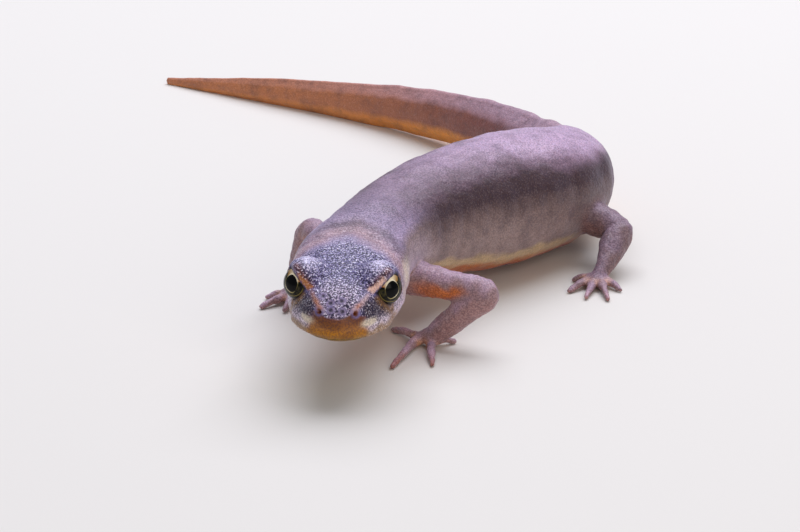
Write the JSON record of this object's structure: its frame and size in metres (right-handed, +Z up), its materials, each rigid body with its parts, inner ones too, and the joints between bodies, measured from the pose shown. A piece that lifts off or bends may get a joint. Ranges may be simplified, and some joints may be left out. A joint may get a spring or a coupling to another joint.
{
  "type": "smooth newt model",
  "caption": "Life-size still smooth newt in a walking pose, head raised, trunk bent to its left and tail laid to its right.",
  "frame": {"origin": "bottom centre of the whole model's bounding box, on the floor it stands on", "axes": "+Z up, +Y from the snout towards the tail, +X to the animal's left"},
  "size_m": [0.0346, 0.0694, 0.0095],
  "materials": {
    "skin": "satin, finely granular, slightly moist",
    "throat_skin": "satin, smoother than the back",
    "tail_skin": "satin, finely granular",
    "eye": "wet gloss, dark with a gold rim"
  },
  "bodies": {
    "root": {"head": "skin", "neck": "skin", "trunk_front": "skin", "trunk_middle": "skin", "trunk_rear": "skin", "pelvis": "skin", "left_upper_arm": "skin", "left_forearm": "skin", "left_hand": "skin", "right_upper_arm": "skin", "right_forearm": "skin", "right_hand": "skin", "left_thigh": "skin", "left_shank": "skin", "left_foot": "skin", "right_thigh": "skin", "right_shank": "skin", "right_foot": "skin", "lower_jaw": "throat_skin", "tail_base": "tail_skin", "tail_middle": "tail_skin", "tail_end": "tail_skin", "eye_left": "eye", "eye_right": "eye"}
  },
  "joints": []
}
